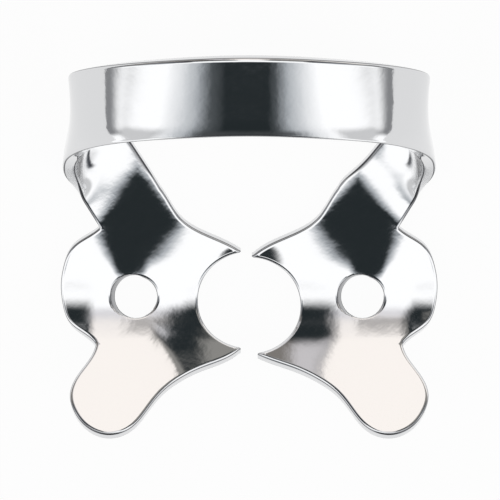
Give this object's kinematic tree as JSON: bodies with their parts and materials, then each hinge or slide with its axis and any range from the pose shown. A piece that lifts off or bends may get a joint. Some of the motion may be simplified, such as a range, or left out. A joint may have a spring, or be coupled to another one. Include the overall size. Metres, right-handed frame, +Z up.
{
  "type": "rubber dam clamp",
  "caption": "One-piece spring steel dental clamp: bow arched over two perforated winged jaws with a round bite.",
  "frame": {"origin": "middle of the clamp's footprint, on the plane it rests on", "axes": "+X across the clamp to the right jaw, +Y from the wings towards the bow, +Z up out of the surface it lies on"},
  "size_m": [0.0234, 0.0256, 0.012],
  "materials": {
    "steel": "polished stainless spring steel"
  },
  "bodies": {
    "root": {"clamp": "steel"}
  },
  "joints": []
}
